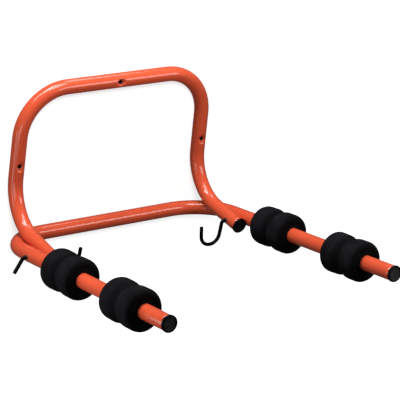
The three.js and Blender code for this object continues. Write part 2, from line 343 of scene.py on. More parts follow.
def mesh_piece(name, points, faces, sharp=50.0):
    """A closed mesh object from points and arrays of faces.

    Unused points go, faces turn outwards, and shading is smooth up to an angle in degrees.
    """
    used, numbers = np.unique(np.concatenate([part.ravel() for part in faces]), return_inverse=True)
    cuts = np.cumsum([part.size for part in faces])[:-1]
    parts = [new.reshape(old.shape) for new, old in zip(np.split(numbers, cuts), faces)]
    data = bpy.data.meshes.new(name)
    data.from_pydata(points[used].tolist(), [], [row for part in parts for row in part.tolist()])
    data.update()
    shell = bmesh.new()
    shell.from_mesh(data)
    bmesh.ops.recalc_face_normals(shell, faces=shell.faces)
    shell.to_mesh(data)
    shell.free()
    data.shade_smooth()
    data.set_sharp_from_angle(angle=math.radians(sharp))
    piece = bpy.data.objects.new(name, data)
    bpy.context.scene.collection.objects.link(piece)
    return piece


def write_mask(piece, name, values):
    """Stores a value for each point of a piece, for its material to read."""
    piece.data.attributes.new(name, "FLOAT", "POINT").data.foreach_set("value", values)


def turned_surface(profile, sides):
    """Points and faces of a closed profile of (radius, height) turned once about the Z axis.

    A point is (r cos t, r sin t, h), with t once round. A profile with its ends on the axis gets two poles.
    """
    angle = np.linspace(0, 2 * np.pi, sides, endpoint=False)
    poles = profile[0, 0] == 0
    body = profile[1:-1] if poles else profile
    radius, height = body[:, :1], body[:, 1:]
    points = [radius * np.cos(angle), radius * np.sin(angle), height + 0 * angle]
    points = np.stack(points, axis=-1).reshape(-1, 3)
    rings = np.arange(len(points)).reshape(len(body), sides)
    if not poles:
        return points, [grid_faces(np.vstack([rings, rings[:1]]))]
    ends = np.array([[0, 0, profile[0, 1]], [0, 0, profile[-1, 1]]])
    fans = [pole_fan(len(points), rings[0]), pole_fan(len(points) + 1, rings[-1])]
    return np.vstack([points, ends]), [grid_faces(rings), *fans]


def stood_on(points, origin, direction):
    """Points whose Z axis is laid along a direction from an origin, turned as little as that needs."""
    up, direction = np.array([0.0, 0.0, 1.0]), unit(direction)
    axis = np.cross(up, direction)
    turn = Matrix.Rotation(math.atan2(np.linalg.norm(axis), up @ direction), 3, axis)
    return points @ np.array(turn).T + origin


def corner_arc(centre, radius, start, end, steps=6):
    """Points (r, h) of an arc about a centre, from one angle to another in degrees."""
    angle = np.radians(np.linspace(start, end, steps + 1))
    return np.column_stack([centre[0] + radius * np.cos(angle), centre[1] + radius * np.sin(angle)])


def smooth_step(share):
    """From 0 to 1 with level ends: 3 s^2 - 2 s^3."""
    share = np.clip(share, 0, 1)
    return share * share * (3 - 2 * share)


# A round hole through one wall of a tube: its place along it and around it, and its radius
TubeHole = namedtuple("TubeHole", "along around radius")


def open_holes(along, around, surface_radius, holes, spots, grow):
    """Moves the grid of a tube's surface so that its lines run round each hole.

    Inside a square patch of the grid, the square ring that a point is on gives its share of the way from the
    hole's edge to the patch's edge. Its place goes over from a circle of that share to its own on the grid.
    Across the tube the place is a chord, R sin(t), so a drilled hole stays round through both faces.
    """
    sides = along.shape[1]
    step = 2 * np.pi * surface_radius / sides
    index = np.arange(-PATCH_HALF, PATCH_HALF + 1)
    down, over = np.meshgrid(index, index, indexing="ij")
    share = (np.maximum(abs(down), abs(over)) - HOLE_HALF) / (PATCH_HALF - HOLE_HALF)
    blend, bearing = smooth_step(share), np.arctan2(over, down)
    for hole, (row, column) in zip(holes, spots):
        patch = np.ix_(row + index, (column + index) % sides)
        edge = hole.radius + grow
        reach = edge + np.clip(share, 0, None) * (PATCH_HALF * step - edge)
        chord = surface_radius * np.sin(np.angle(np.exp(1j * (around[patch] - hole.around))))
        new_along, new_chord = hole.along + reach * np.cos(bearing), reach * np.sin(bearing)
        along[patch] = new_along + (along[patch] - new_along) * blend
        chord = new_chord + (chord - new_chord) * blend
        around[patch] = hole.around + np.arcsin(np.clip(chord / surface_radius, -1, 1))


def hole_loop(row, column, sides):
    """Row and column numbers once round the square of grid points on a hole's edge."""
    side, flat = np.arange(-HOLE_HALF, HOLE_HALF), np.full(2 * HOLE_HALF, HOLE_HALF)
    rows = np.concatenate([side, flat, -side, -flat])
    columns = np.concatenate([-flat, side, flat, -side])
    return row + rows, (column + columns) % sides


def bent_tube(name, path, sizes, holes, dimples=None):
    """A hollow tube along a path, both its faces on one grid of rings and sides, its edges broken.

    A point of either face is P(s) + R (cos(t) N(s) + sin(t) B(s)), with R the outer or the inner radius. Each
    hole's wall runs between the same grid points of the two faces. Screw holes given as dimples are pressed in.
    """
    sides, lip, outer = sizes.sides, sizes.lip, sizes.outer / 2
    inner = outer - sizes.wall
    cell = np.pi * sizes.outer / sides
    rows = path.stations(sizes.straight_step, sizes.bend_step)
    fine = (PATCH_HALF + 2) * cell
    for along in sorted({hole.along for hole in holes}):
        low, high = max(along - fine, 0), min(along + fine, path.length)
        patch = np.linspace(low, high, round((high - low) / cell) + 1)
        rows = np.concatenate([rows[rows < low - cell / 2], patch, rows[rows > high + cell / 2]])
    rows[0], rows[-1] = lip, path.length - lip
    spots = [(np.argmin(abs(rows - hole.along)), round(hole.around / (2 * np.pi) * sides)) for hole in holes]
    angles = np.arange(sides) * 2 * np.pi / sides
    points = []
    for radius, depth in ((outer, 0.0), (inner, sizes.wall)):
        along, around = np.meshgrid(rows, angles, indexing="ij")
        open_holes(along, around, radius, holes, spots, lip)
        points.append(path.skin(along, around, radius))
        if dimples:
            press_dimples(points[-1], depth, sizes, dimples)
    for distance in (0.0, path.length):
        for radius in (outer - lip, inner + lip):
            points.append(path.skin(np.full(sides, distance), angles, radius))
    shell = len(rows) * sides
    outside = np.arange(shell).reshape(-1, sides)
    inside = outside + shell
    start_out, start_in, end_out, end_in = 2 * shell + np.arange(4 * sides).reshape(4, sides)
    taken = 2 * shell + 4 * sides

    keep = np.ones((len(rows) - 1, sides), bool)
    cells = np.arange(-HOLE_HALF, HOLE_HALF)
    walls = []
    for hole, (row, column) in zip(holes, spots):
        keep[np.ix_(row + cells, (column + cells) % sides)] = False
        loop = hole_loop(row, column, sides)
        centre, tangent, normal = (value[0] for value in path.at([hole.along]))
        drill = -(np.cos(hole.around) * normal + np.sin(hole.around) * np.cross(tangent, normal))
        for face, way in ((points[0], 1), (points[1], -1)):
            edge = face[outside[loop]]
            away = edge - centre
            away -= (away @ drill)[:, None] * drill
            away /= np.linalg.norm(away, axis=1)[:, None]
            points.append(edge - lip * away + way * lip * drill)
        size = len(loop[0])
        rings = taken + np.arange(2 * size).reshape(2, size)
        taken += 2 * size
        walls.append(grid_faces(np.stack([outside[loop], *rings, inside[loop]])))
    faces = [
        grid_faces(outside, keep),
        grid_faces(inside, keep),
        grid_faces(np.stack([outside[0], start_out, start_in, inside[0]])),
        grid_faces(np.stack([outside[-1], end_out, end_in, inside[-1]])),
        *walls,
    ]
    return mesh_piece(name, np.vstack(points), faces)


def bent_wire(name, path, sizes):
    """A solid round wire along a path, its cut ends rounded by a quarter circle that closes on a pole."""
    radius, end = sizes.wire / 2, sizes.end_round
    rows = path.stations(radius, sizes.bend_step)
    clear = end * 1.01  # just more than the rounding, so that no two rings meet
    rows = rows[(rows > clear) & (rows < path.length - clear)]
    quarter = np.radians(np.linspace(0, 90, 6))
    inset, rounded = end * (1 - np.sin(quarter)), radius - end * (1 - np.cos(quarter))
    along = np.concatenate([inset[::-1], rows, path.length - inset])
    radii = np.concatenate([rounded[::-1], np.full(len(rows), radius), rounded])
    along, turn = np.meshgrid(along, np.linspace(0, 2 * np.pi, sizes.sides, endpoint=False), indexing="ij")
    points = path.skin(along, turn, np.repeat(radii, sizes.sides)[:, None])
    rings = np.arange(len(points)).reshape(along.shape)
    fans = [pole_fan(len(points), rings[0]), pole_fan(len(points) + 1, rings[-1])]
    return mesh_piece(name, np.vstack([points, path.at([0.0, path.length])[0]]), [grid_faces(rings), *fans])


# The rack's own lines and places


def foot_direction(sizes):
    return np.array([0, -math.cos(sizes.foot_drop), -math.sin(sizes.foot_drop)])


def foot_pivot(side):
    return np.array([side * FOOT_X, PIVOT_Y, PIVOT_Z])


def foot_end(sizes, side):
    return foot_pivot(side) + foot_direction(sizes) * sizes.foot_overhang


def arm_direction(sizes, side):
    level = math.cos(sizes.arm_tilt)
    return unit([side * level * math.tan(sizes.arm_toe_out), -level, math.sin(sizes.arm_tilt)])


def arm_pivot(sizes, side):
    return np.array([side * (FOOT_X + sizes.outer + sizes.side_gap), PIVOT_Y, PIVOT_Z])


def arm_point(sizes, side, distance):
    """A point on an arm's axis, this far from the corner where the axis meets the crossbar's."""
    direction = arm_direction(sizes, side)
    back = -sizes.crossbar_gap - sizes.outer / 2
    corner = arm_pivot(sizes, side) + direction * (back - PIVOT_Y) / direction[1]
    return corner + direction * distance


def frame_path(sizes):
    """From the left foot's end up the leg, over the top bar and down to the right foot's end."""
    leg_y = -sizes.outer / 2
    corner_z = PIVOT_Z + (leg_y - PIVOT_Y) * math.tan(sizes.foot_drop)
    low = [(side * FOOT_X, leg_y, corner_z) for side in (-1, 1)]
    high = [(side * sizes.half_width, leg_y, 0) for side in (-1, 1)]
    corners = [foot_end(sizes, -1), low[0], *high, low[1], foot_end(sizes, 1)]
    return BentPath(corners, [sizes.foot_bend, sizes.top_bend, sizes.top_bend, sizes.foot_bend], 2)


def arm_path(sizes):
    """From the left arm's end along the crossbar to the right arm's end."""
    places = ((-1, sizes.arm_length), (-1, 0), (1, 0), (1, sizes.arm_length))
    corners = [arm_point(sizes, side, distance) for side, distance in places]
    return BentPath(corners, [sizes.arm_bend, sizes.arm_bend], 1)


def hook_path(tube, sizes, side):
    """From the tail's end through arm and foot, then down, round the bowl and up to the tip."""
    drop = sizes.left_drop if side < 0 else sizes.right_drop
    inner = FOOT_X - tube.outer / 2 - sizes.stub
    outer = FOOT_X + tube.outer + tube.side_gap + tube.outer / 2 + sizes.tail_stub
    tip = inner - sizes.mouth
    tail = sizes.tail_length
    places = [
        (outer + tail * math.cos(sizes.tail_drop), -tail * math.sin(sizes.tail_drop)),
        (outer, 0),
        (inner, 0),
        (inner - sizes.depth * math.tan(sizes.leg_lean), -sizes.depth),
        (tip + sizes.depth * math.tan(sizes.tip_lean), -sizes.depth),
        (tip + drop * math.tan(sizes.tip_lean), -drop),
    ]
    corners = [(side * x, PIVOT_Y, PIVOT_Z + z) for x, z in places]
    return BentPath(corners, [sizes.tight_bend, sizes.tight_bend, sizes.leg_bowl, sizes.tip_bowl], 1)


def holes_through(path, points, axis, radius):
    """The two holes that a drill along an axis makes in a tube's wall at each point that the path passes."""
    holes = []
    for point in points:
        along = path.nearest(point)
        _, tangent, normal = (value[0] for value in path.at([along]))
        for way in (-np.array(axis), np.array(axis)):
            around = math.atan2(way @ np.cross(tangent, normal), way @ normal) % (2 * math.pi)
            holes.append(TubeHole(along, around, radius))
    return holes


def pin_hole_radius(scene):
    return scene.rack_hooks.wire / 2 + scene.rack_holes.pin_clearance


def screw_places(sizes, holes):
    """X and z of the three screw holes: one in the top bar, and one in each leg where its lean has taken it."""
    x = sizes.half_width + holes.screw_drop * math.tan(sizes.leg_splay)
    return [(0.0, 0.0), (-x, -holes.screw_drop), (x, -holes.screw_drop)]


def press_dimples(points, wall, sizes, holes):
    """Pushes the front wall in round each screw hole, on the tube's outer face or the one a wall behind it.

    Near a hole the wall's y is the softened larger of its own y and a cone's, which is at the tube's front at
    the dimple's mouth and a depth behind it at the hole: max(a, b) with its corner rounded over a fillet.
    """
    front = points[:, 1] < -sizes.outer / 2
    slope = holes.dimple_depth / ((holes.dimple_mouth - holes.screw) / 2)
    for x, z in screw_places(sizes, holes):
        off = np.hypot(points[:, 0] - x, points[:, 2] - z)
        cone = -sizes.outer + holes.dimple_depth + wall - slope * (off - holes.screw / 2)
        here = front & (off < holes.dimple_mouth)
        own, soft = points[here, 1], holes.dimple_fillet
        share = np.clip(0.5 + 0.5 * (own - cone[here]) / soft, 0, 1)
        points[here, 1] = cone[here] * (1 - share) + own * share + soft * share * (1 - share)


def grip_profile(tube, sizes):
    """Once round the section of a grip, as (radius, height): bore, cut end, shoulder, skin, and back.

    The skin is straight but for one wave, R - d (1 + cos(2 pi h / w)) / 2 for h within half the valley's width
    w. The cut ends hollow in by a parabola between bore and shoulder, and the lips of the bore are rounded.
    """
    bore, outer, shoulder, edge = tube.outer / 2 + sizes.fit, sizes.outer / 2, sizes.shoulder, sizes.bore_edge
    end = sizes.length / 2
    bore_steps, cut_steps, arc_steps = 12, 14, 14
    height = np.linspace(-end + shoulder, end - shoulder, sizes.rings)[1:-1]
    near = np.clip(2 * np.pi * height / sizes.valley_width, -np.pi, np.pi)
    skin = outer - (outer - sizes.valley / 2) * (1 + np.cos(near)) / 2
    share = np.linspace(0, 1, cut_steps)[1:-1]
    across = bore + edge + share * (outer - shoulder - bore - edge)
    cut = np.column_stack([across, end - sizes.dish * 4 * share * (1 - share)])
    return np.vstack([
        np.column_stack([np.full(bore_steps, bore), np.linspace(end - edge, -end + edge, bore_steps)]),
        corner_arc((bore + edge, -end + edge), edge, 180, 270)[1:],
        cut * (1, -1),
        corner_arc((outer - shoulder, -end + shoulder), shoulder, 270, 360, arc_steps),
        np.column_stack([skin, height]),
        corner_arc((outer - shoulder, end - shoulder), shoulder, 0, 90, arc_steps),
        cut[::-1],
        corner_arc((bore + edge, end - edge), edge, 90, 180)[:-1],
    ])


def foam_grip(name, tube, sizes, origin, direction, seed):
    """A grip turned from its profile, its skin uneven by a few long waves that differ from grip to grip.

    A point moves out by A w(r) sum of sin(k t + p) cos(q h + p'), with w rising from 0 within the foam to 1 at
    the skin. The mask cut_end goes from 0 on the moulded skin to 1 on the cut ends, over the shoulder; the
    material paints shade on the cut ends. The mask for the lobes goes from 0 in the valley to 1 on the lobes, for
    painted light on the lobes and painted shade in the valley.
    """
    points, faces = turned_surface(grip_profile(tube, sizes), sizes.sides)
    angle, radius = np.arctan2(points[:, 1], points[:, 0]), np.hypot(points[:, 0], points[:, 1])
    inward = sizes.length / 2 - abs(points[:, 2])
    cut_reach = sizes.shoulder * 0.35
    cut = smooth_step(1 - inward / cut_reach) * smooth_step((radius - tube.outer / 2) / sizes.bore_edge)
    painted_lobe_light = smooth_step((radius - sizes.valley / 2) / (sizes.outer / 2 - sizes.valley / 2))
    phase = np.random.default_rng(seed).uniform(0, 2 * np.pi, (4, 2))
    waves = sum(
        np.sin(k * angle + phase[i, 0]) * np.cos(q * points[:, 2] + phase[i, 1]) / (i + 1)
        for i, (k, q) in enumerate(SKIN_WAVES)
    )
    share = smooth_step((radius - tube.outer) / (sizes.outer / 2 - tube.outer))
    points[:, :2] *= (1 + sizes.waviness * share * waves / np.maximum(radius, tube.outer / 2))[:, None]
    piece = mesh_piece(name, stood_on(points, origin, direction), faces, sharp=80)
    write_mask(piece, "cut_end", cut)
    write_mask(piece, "painted_lobe_light", painted_lobe_light)
    return piece


def end_cap(name, tube, sizes, origin, direction):
    """A moulded plug, turned: a head with a rounded edge, a rim and a dished face, and a hollow ribbed stem.

    The mask inside_rim goes from 1 on the face to 0 at the rim, by the distance from the plug's axis.
    """
    outer, bore = tube.outer / 2 + sizes.overhang, tube.outer / 2 - tube.wall
    stem, seat = bore - sizes.fit - sizes.barb, sizes.fit
    top, edge, dish = sizes.head + seat, sizes.edge, sizes.dish
    face, rib = outer - sizes.rim, stem + sizes.barb
    foot, hollow, floor = seat - sizes.stem, stem - sizes.stem_wall, seat - sizes.stem_wall
    pitch = sizes.stem / (sizes.barbs + 1)
    sag, bevel, land, foot_bevel = 0.0003, 0.0002, 0.0003, 0.0004
    lows = [seat - (k - 0.5) * pitch for k in range(1, sizes.barbs + 1)]
    profile = np.vstack([
        [[0, top - dish - sag]],
        [[face * share, top - dish - sag * (1 - share**2)] for share in np.linspace(0.1, 0.9, 6)],
        corner_arc((face - dish, top), dish, 270, 360),
        corner_arc((face + dish, top - dish / 2), dish / 2, 135, 90, 3),
        corner_arc((outer - edge, top - edge), edge, 90, 0, 8),
        [[outer, seat + bevel], [outer - bevel, seat], [stem, seat]],
        *([[stem, low + bevel], [rib, low], [rib, low - land], [stem, low - pitch / 2]] for low in lows),
        [[stem, foot + foot_bevel], [stem - foot_bevel, foot], [hollow, foot], [hollow, floor], [0, floor]],
    ])
    points, faces = turned_surface(profile, sizes.sides)
    radius, height = np.hypot(points[:, 0], points[:, 1]), points[:, 2]
    inside = smooth_step((face + dish - radius) / (2 * dish)) * (height > seat)
    piece = mesh_piece(name, stood_on(points, origin, direction), faces, sharp=40)
    write_mask(piece, "inside_rim", inside)
    return piece


# Finishes: shared effects as node groups, and for each material the inputs of its shader


def feed(tree, target, inputs):
    """Sets inputs of a node, each to a value or by a link from another node's output."""
    for key, value in dict(inputs).items():
        if isinstance(value, bpy.types.NodeSocket):
            tree.links.new(value, target.inputs[key])
        else:
            target.inputs[key].default_value = value


def node(tree, kind, inputs=(), **settings):
    """A new node of a kind, with its settings made before its inputs are fed."""
    made = tree.nodes.new(kind)
    for key, value in settings.items():
        setattr(made, key, value)
    feed(tree, made, inputs)
    return made


def math_node(tree, operation, result, *others):
    """A Math node's operation on one value, or on several in turn."""
    for other in others or (0.0,):
        result = node(tree, "ShaderNodeMath", {0: result, 1: other}, operation=operation).outputs[0]
    return result


def range_node(tree, value, low, high, from_low=0.0, from_high=1.0, **settings):
    """The value with its range from_low to from_high stretched onto low to high."""
    ends = {"From Min": from_low, "From Max": from_high, "To Min": low, "To Max": high}
    return node(tree, "ShaderNodeMapRange", {"Value": value, **ends}, **settings).outputs["Result"]


def mix_colour(tree, share, first, second):
    return node(tree, "ShaderNodeMix", {0: share, 6: first, 7: second}, data_type="RGBA").outputs[2]


def noise(tree, place, scale, detail):
    return node(tree, "ShaderNodeTexNoise", {"Vector": place, "Scale": scale, "Detail": detail}).outputs["Fac"]


def new_group(name, inputs, outputs):
    """A shader node group with inputs by their defaults, and outputs; also its given values and output node."""
    group = bpy.data.node_groups.new(name, "ShaderNodeTree")
    for key, default in inputs.items():
        kind = "NodeSocketVector" if isinstance(default, tuple) else "NodeSocketFloat"
        group.interface.new_socket(name=key, in_out="INPUT", socket_type=kind).default_value = default
    for key in outputs:
        group.interface.new_socket(name=key, in_out="OUTPUT", socket_type="NodeSocketFloat")
    return group, group.nodes.new("NodeGroupInput").outputs, group.nodes.new("NodeGroupOutput")


def uneven_skin_group(name):
    """Cloudy variation and fine grain, from noise at two sizes.

    Height is the fine noise plus a share of the coarse one, and the two masks are the coarse and fine noise
    stretched about their middle, so that a material can vary its colour and roughness with them.
    """
    inputs = {"Vector": (0.0, 0.0, 0.0), "Cloud Scale": 20.0, "Grain Scale": 600.0, "Cloud Height": 0.3}
    group, given, end = new_group(name, inputs, ("Cloud", "Grain", "Height"))
    cloud = noise(group, given["Vector"], given["Cloud Scale"], 3.0)
    grain = noise(group, given["Vector"], given["Grain Scale"], 2.0)
    low = math_node(group, "MULTIPLY", cloud, given["Cloud Height"])
    feed(group, end, {
        "Cloud": range_node(group, cloud, 0.0, 1.0, 0.3, 0.7),
        "Grain": range_node(group, grain, 0.0, 1.0, 0.3, 0.7),
        "Height": math_node(group, "ADD", low, grain),
    })
    return group


def rubbed_ring_group(name):
    """A mask round a hole's axis, 1 at its edge and fading out, broken up by noise.

    Keep flattens the point onto the plane across the axis, so its distance to the centre is that to the axis.
    """
    origin = (0.0, 0.0, 0.0)
    inputs = {"Vector": origin, "Centre": origin, "Keep": (1.0, 1.0, 1.0), "Inner": 0.003, "Outer": 0.006}
    group, given, end = new_group(name, {**inputs, "Break Up": 0.5}, ("Mask",))

    def vector_math(operation, *values):
        return node(group, "ShaderNodeVectorMath", enumerate(values), operation=operation).outputs

    off = vector_math("SUBTRACT", given["Vector"], given["Centre"])[0]
    away = vector_math("LENGTH", vector_math("MULTIPLY", off, given["Keep"])[0])["Value"]
    near = range_node(group, away, 0.0, 1.0, given["Outer"], given["Inner"], interpolation_type="SMOOTHSTEP")
    pull = math_node(group, "MULTIPLY", noise(group, given["Vector"], 450.0, 4.0), given["Break Up"])
    mask = math_node(group, "SUBTRACT", near, pull)
    feed(group, end, {"Mask": range_node(group, mask, 0.0, 1.0, 0.15, 0.45)})
    return group


EFFECTS = {"Uneven Skin": uneven_skin_group, "Rubbed Ring": rubbed_ring_group}


def effect(tree, name, place, **values):
    """The outputs of a shared effect, placed in a tree with its own values."""
    group = bpy.data.node_groups.get(name) or EFFECTS[name](name)
    values = {key.replace("_", " "): value for key, value in values.items()}
    return node(tree, "ShaderNodeGroup", {"Vector": place, **values}, node_tree=group).outputs


def empty_tree(owner):
    """The node tree of a new material or world, with nothing in it."""
    owner.use_nodes = True
    owner.node_tree.nodes.clear()
    return owner.node_tree


def object_place(tree):
    return node(tree, "ShaderNodeTexCoord").outputs["Object"]


def mask_of(tree, name):
    return node(tree, "ShaderNodeAttribute", attribute_name=name).outputs["Fac"]


def bump(tree, height, strength, distance):
    inputs = {"Height": height, "Strength": strength, "Distance": distance}
    return node(tree, "ShaderNodeBump", inputs).outputs["Normal"]


def rgba(colour, level=1.0):
    return (*(channel * level for channel in colour), 1.0)


def gloss_paint(tree, place, scene):
    """Gloss enamel: faint orange peel, a cloudy tone, and rubbed rings round the pins and the screw holes."""
    colours, holes = scene.rack_finishes, scene.rack_holes
    skin = effect(tree, "Uneven Skin", place, Cloud_Scale=14.0, Grain_Scale=420.0, Cloud_Height=0.6)
    tone = mix_colour(tree, skin["Cloud"], rgba(colours.paint, 0.93), rgba(colours.paint, 1.05))
    speck = math_node(tree, "MULTIPLY", skin["Grain"], 0.06)
    tone = mix_colour(tree, speck, tone, rgba(colours.paint, 0.6))
    pin, pin_reach, screw, screw_reach = 0.0031, 0.0062, holes.screw / 2, holes.screw / 2 + 0.0016
    rings = [((0, PIVOT_Y, PIVOT_Z), (0, 1, 1), pin, pin_reach)]
    rings += [((x, 0, z), (1, 0, 1), screw, screw_reach) for x, z in screw_places(scene.rack_tube, holes)]
    rings = [dict(zip(("Centre", "Keep", "Inner", "Outer"), ring)) for ring in rings]
    worn = [effect(tree, "Rubbed Ring", place, **ring, Break_Up=0.75)["Mask"] for ring in rings]
    worn = math_node(tree, "MAXIMUM", *worn)
    smooth = range_node(tree, skin["Cloud"], 0.24, 0.33)
    return {
        "Base Color": mix_colour(tree, worn, tone, rgba(colours.primer)),
        "Roughness": math_node(tree, "ADD", smooth, math_node(tree, "MULTIPLY", worn, 0.25)),
        "Coat Weight": math_node(tree, "MULTIPLY", math_node(tree, "SUBTRACT", 1.0, worn), 0.8),
        "Normal": bump(tree, skin["Height"], 0.006, 0.0004),
        "Coat Roughness": 0.085,
        "Specular IOR Level": 0.15,
    }


def cell_foam(tree, place, scene):
    """Closed-cell foam with fine pores and cloudy grey dust, and deeper open cells when cut.

    Its grey paints light on the lobes, and shade in the valley and on the cut ends.
    """
    colours = scene.rack_finishes
    skin = effect(tree, "Uneven Skin", place, Cloud_Scale=45.0, Grain_Scale=900.0, Cloud_Height=0.8)
    pores = node(tree, "ShaderNodeTexVoronoi", {"Vector": place, "Scale": 750.0}, feature="F1")
    pit = range_node(tree, pores.outputs["Distance"], 0.0, 1.0, 0.10, 0.42)
    # The mask for the lobes paints light on the lobes and shade in the valley.
    cut, lobe_light_mask = mask_of(tree, "cut_end"), mask_of(tree, "painted_lobe_light")
    clouds = range_node(tree, skin["Cloud"], 0.2, 1.25)
    # On the cut ends the grey is held back to near black: painted shade.
    lobes, ends = range_node(tree, lobe_light_mask, 0.15, 1.0), range_node(tree, cut, 1.0, 0.25)
    # The grey mix: cloudy dust and pores, together with that painted light and shade.
    dust_and_painted_light = math_node(tree, "MULTIPLY", clouds, pit, lobes, ends)
    deep = math_node(tree, "MULTIPLY", pit, range_node(tree, cut, 1.2, 2.5))
    return {
        "Base Color": mix_colour(tree, dust_and_painted_light, rgba(colours.foam), rgba(colours.foam_dust_and_lobe_light)),
        "Roughness": range_node(tree, skin["Cloud"], 0.72, 0.92),
        "Normal": bump(tree, math_node(tree, "ADD", skin["Height"], deep), 0.45, 0.0005),
        "Sheen Weight": 0.002,
        "Sheen Roughness": 0.6,
        "Specular IOR Level": 0.05,
    }


def moulded_plastic(tree, place, scene):
    """Moulded cap plastic: a smooth black rim round a coarser face with scuffed patches, painted greyer as light.
    """
    colours = scene.rack_finishes
    skin = effect(tree, "Uneven Skin", place, Cloud_Scale=320.0, Grain_Scale=1800.0, Cloud_Height=0.2)
    inside = mask_of(tree, "inside_rim")
    # The face inside the rim is painted a lighter grey than the rim: painted light.
    face = mix_colour(tree, skin["Cloud"], rgba(colours.cap_face_painted_light, 0.2), rgba(colours.cap_face_painted_light, 1.6))
    grain = math_node(tree, "MULTIPLY", skin["Cloud"], 0.15)
    return {
        "Base Color": mix_colour(tree, inside, rgba(colours.plastic), face),
        "Roughness": math_node(tree, "ADD", grain, range_node(tree, inside, 0.30, 0.55)),
        "Normal": bump(tree, skin["Height"], 0.2, 0.0002),
        "Specular IOR Level": 0.12,
    }


def coated_wire(tree, place, scene):
    """Black coated wire: a smooth satin coat, rubbed down to steel where it turns in its holes."""
    colours, tube = scene.rack_finishes, scene.rack_tube
    skin = effect(tree, "Uneven Skin", place, Cloud_Scale=90.0, Grain_Scale=1300.0, Cloud_Height=0.5)
    axes = node(tree, "ShaderNodeSeparateXYZ", {0: place}).outputs
    aside = math_node(tree, "ABSOLUTE", axes["X"])
    edges = (FOOT_X - tube.outer / 2, FOOT_X + tube.outer * 1.5 + tube.side_gap)
    bare, reach, shank_foot = 0.0004, 0.0016, PIVOT_Z - 0.004
    off = [math_node(tree, "ABSOLUTE", math_node(tree, "SUBTRACT", aside, edge)) for edge in edges]
    rubbed = math_node(tree, "MAXIMUM", *(range_node(tree, gap, 1.0, 0.0, bare, reach) for gap in off))
    shank = math_node(tree, "GREATER_THAN", axes["Z"], shank_foot)
    worn = math_node(tree, "MULTIPLY", rubbed, shank, skin["Grain"])
    faded = math_node(tree, "MULTIPLY", skin["Cloud"], 0.3)
    coat = mix_colour(tree, faded, rgba(colours.wire), rgba(colours.wire, 2.5))
    return {
        "Base Color": mix_colour(tree, worn, coat, rgba(colours.steel)),
        "Metallic": worn,
        "Roughness": range_node(tree, skin["Cloud"], 0.30, 0.42),
        "Normal": bump(tree, skin["Height"], 0.12, 0.0002),
        "Specular IOR Level": 0.08,
    }


MATERIALS = {
    "paint": ("Orange Gloss Paint", gloss_paint),
    "foam": ("Black Foam", cell_foam),
    "cap_plastic": ("Cap Plastic", moulded_plastic),
    "hook_wire": ("Black Coated Wire", coated_wire),
}


def new_material(name, finish, scene):
    """A material whose Principled BSDF has the inputs that a finish gives it."""
    material = bpy.data.materials.new(name)
    tree = empty_tree(material)
    shader = node(tree, "ShaderNodeBsdfPrincipled", finish(tree, object_place(tree), scene))
    node(tree, "ShaderNodeOutputMaterial", {"Surface": shader.outputs["BSDF"]})
    return material


def finished(piece, scene, slot, body, node_name):
    """Gives a piece its slot's material, made once, and its CAD body, and hides the CAD node it stands for."""
    name, finish = MATERIALS[slot]
    piece.data.materials.append(bpy.data.materials.get(name) or new_material(name, finish, scene))
    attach(piece, body)
    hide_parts(node_name)


# Operators: one for each piece or group of like pieces, and one for the stage


class RACK_OT_camera(bpy.types.Operator):
    """Sets the camera up in front of the rack, above it and to its left"""

    bl_idname = "rack.camera"
    bl_label = "Camera"

    def execute(self, context):
        studio = context.scene.rack_studio
        flat = math.cos(studio.elevation)
        x, y, z = math.sin(studio.azimuth) * flat, -math.cos(studio.azimuth) * flat, math.sin(studio.elevation)
        back = np.array([x, y, z])
        right = unit(np.cross(-back, (0, 0, 1)))
        up = np.cross(right, -back)
        cosine, sine = math.cos(studio.roll), math.sin(studio.roll)
        turn = np.stack([cosine * right + sine * up, cosine * up - sine * right, back], axis=1)
        data = bpy.data.cameras.new("Rack Camera")
        data.lens, data.sensor_width, data.clip_end = studio.lens, 36.0, 50.0
        camera = bpy.data.objects.new("Rack Camera", data)
        place = np.array(studio.aim) + back * studio.distance
        camera.matrix_world = Matrix.Translation(place) @ Matrix(turn).to_4x4()
        context.scene.collection.objects.link(camera)
        context.scene.camera = camera
        return {"FINISHED"}


class RACK_OT_frame(bpy.types.Operator):
    """Bends the wall frame from one tube, with dimpled screw holes and pin holes"""

    bl_idname = "rack.frame"
    bl_label = "Wall Frame"

    def execute(self, context):
        scene = context.scene
        tube, holes = scene.rack_tube, scene.rack_holes
        path = frame_path(tube)
        screws = [np.array([x, -tube.outer / 2, z]) for x, z in screw_places(tube, holes)]
        drilled = holes_through(path, screws, (0, 1, 0), holes.screw / 2)
        drilled += holes_through(path, map(foot_pivot, SIDES.values()), (1, 0, 0), pin_hole_radius(scene))
        piece = bent_tube("wall_frame", path, tube, drilled, holes)
        finished(piece, scene, "paint", "frame", "frame_tube")
        return {"FINISHED"}


class RACK_OT_arms(bpy.types.Operator):
    """Bends the crossbar and both arms from one tube, with pin holes"""

    bl_idname = "rack.arms"
    bl_label = "Arms"

    def execute(self, context):
        scene = context.scene
        tube = scene.rack_tube
        path = arm_path(tube)
        pivots = [arm_pivot(tube, side) for side in SIDES.values()]
        drilled = holes_through(path, pivots, (1, 0, 0), pin_hole_radius(scene))
        finished(bent_tube("arms", path, tube, drilled), scene, "paint", "arms", "arm_tube")
        return {"FINISHED"}


class RACK_OT_caps(bpy.types.Operator):
    """Makes the four end caps, two in the feet and two in the arms"""

    bl_idname = "rack.caps"
    bl_label = "End Caps"

    def execute(self, context):
        scene = context.scene
        tube, sizes = scene.rack_tube, scene.rack_caps
        for name, side in SIDES.items():
            piece = end_cap(name + "_foot_plug", tube, sizes, foot_end(tube, side), foot_direction(tube))
            finished(piece, scene, "cap_plastic", "frame", name + "_frame_cap")
            tip = arm_point(tube, side, tube.arm_length)
            piece = end_cap(name + "_arm_plug", tube, sizes, tip, arm_direction(tube, side))
            finished(piece, scene, "cap_plastic", "arms", name + "_arm_cap")
        return {"FINISHED"}


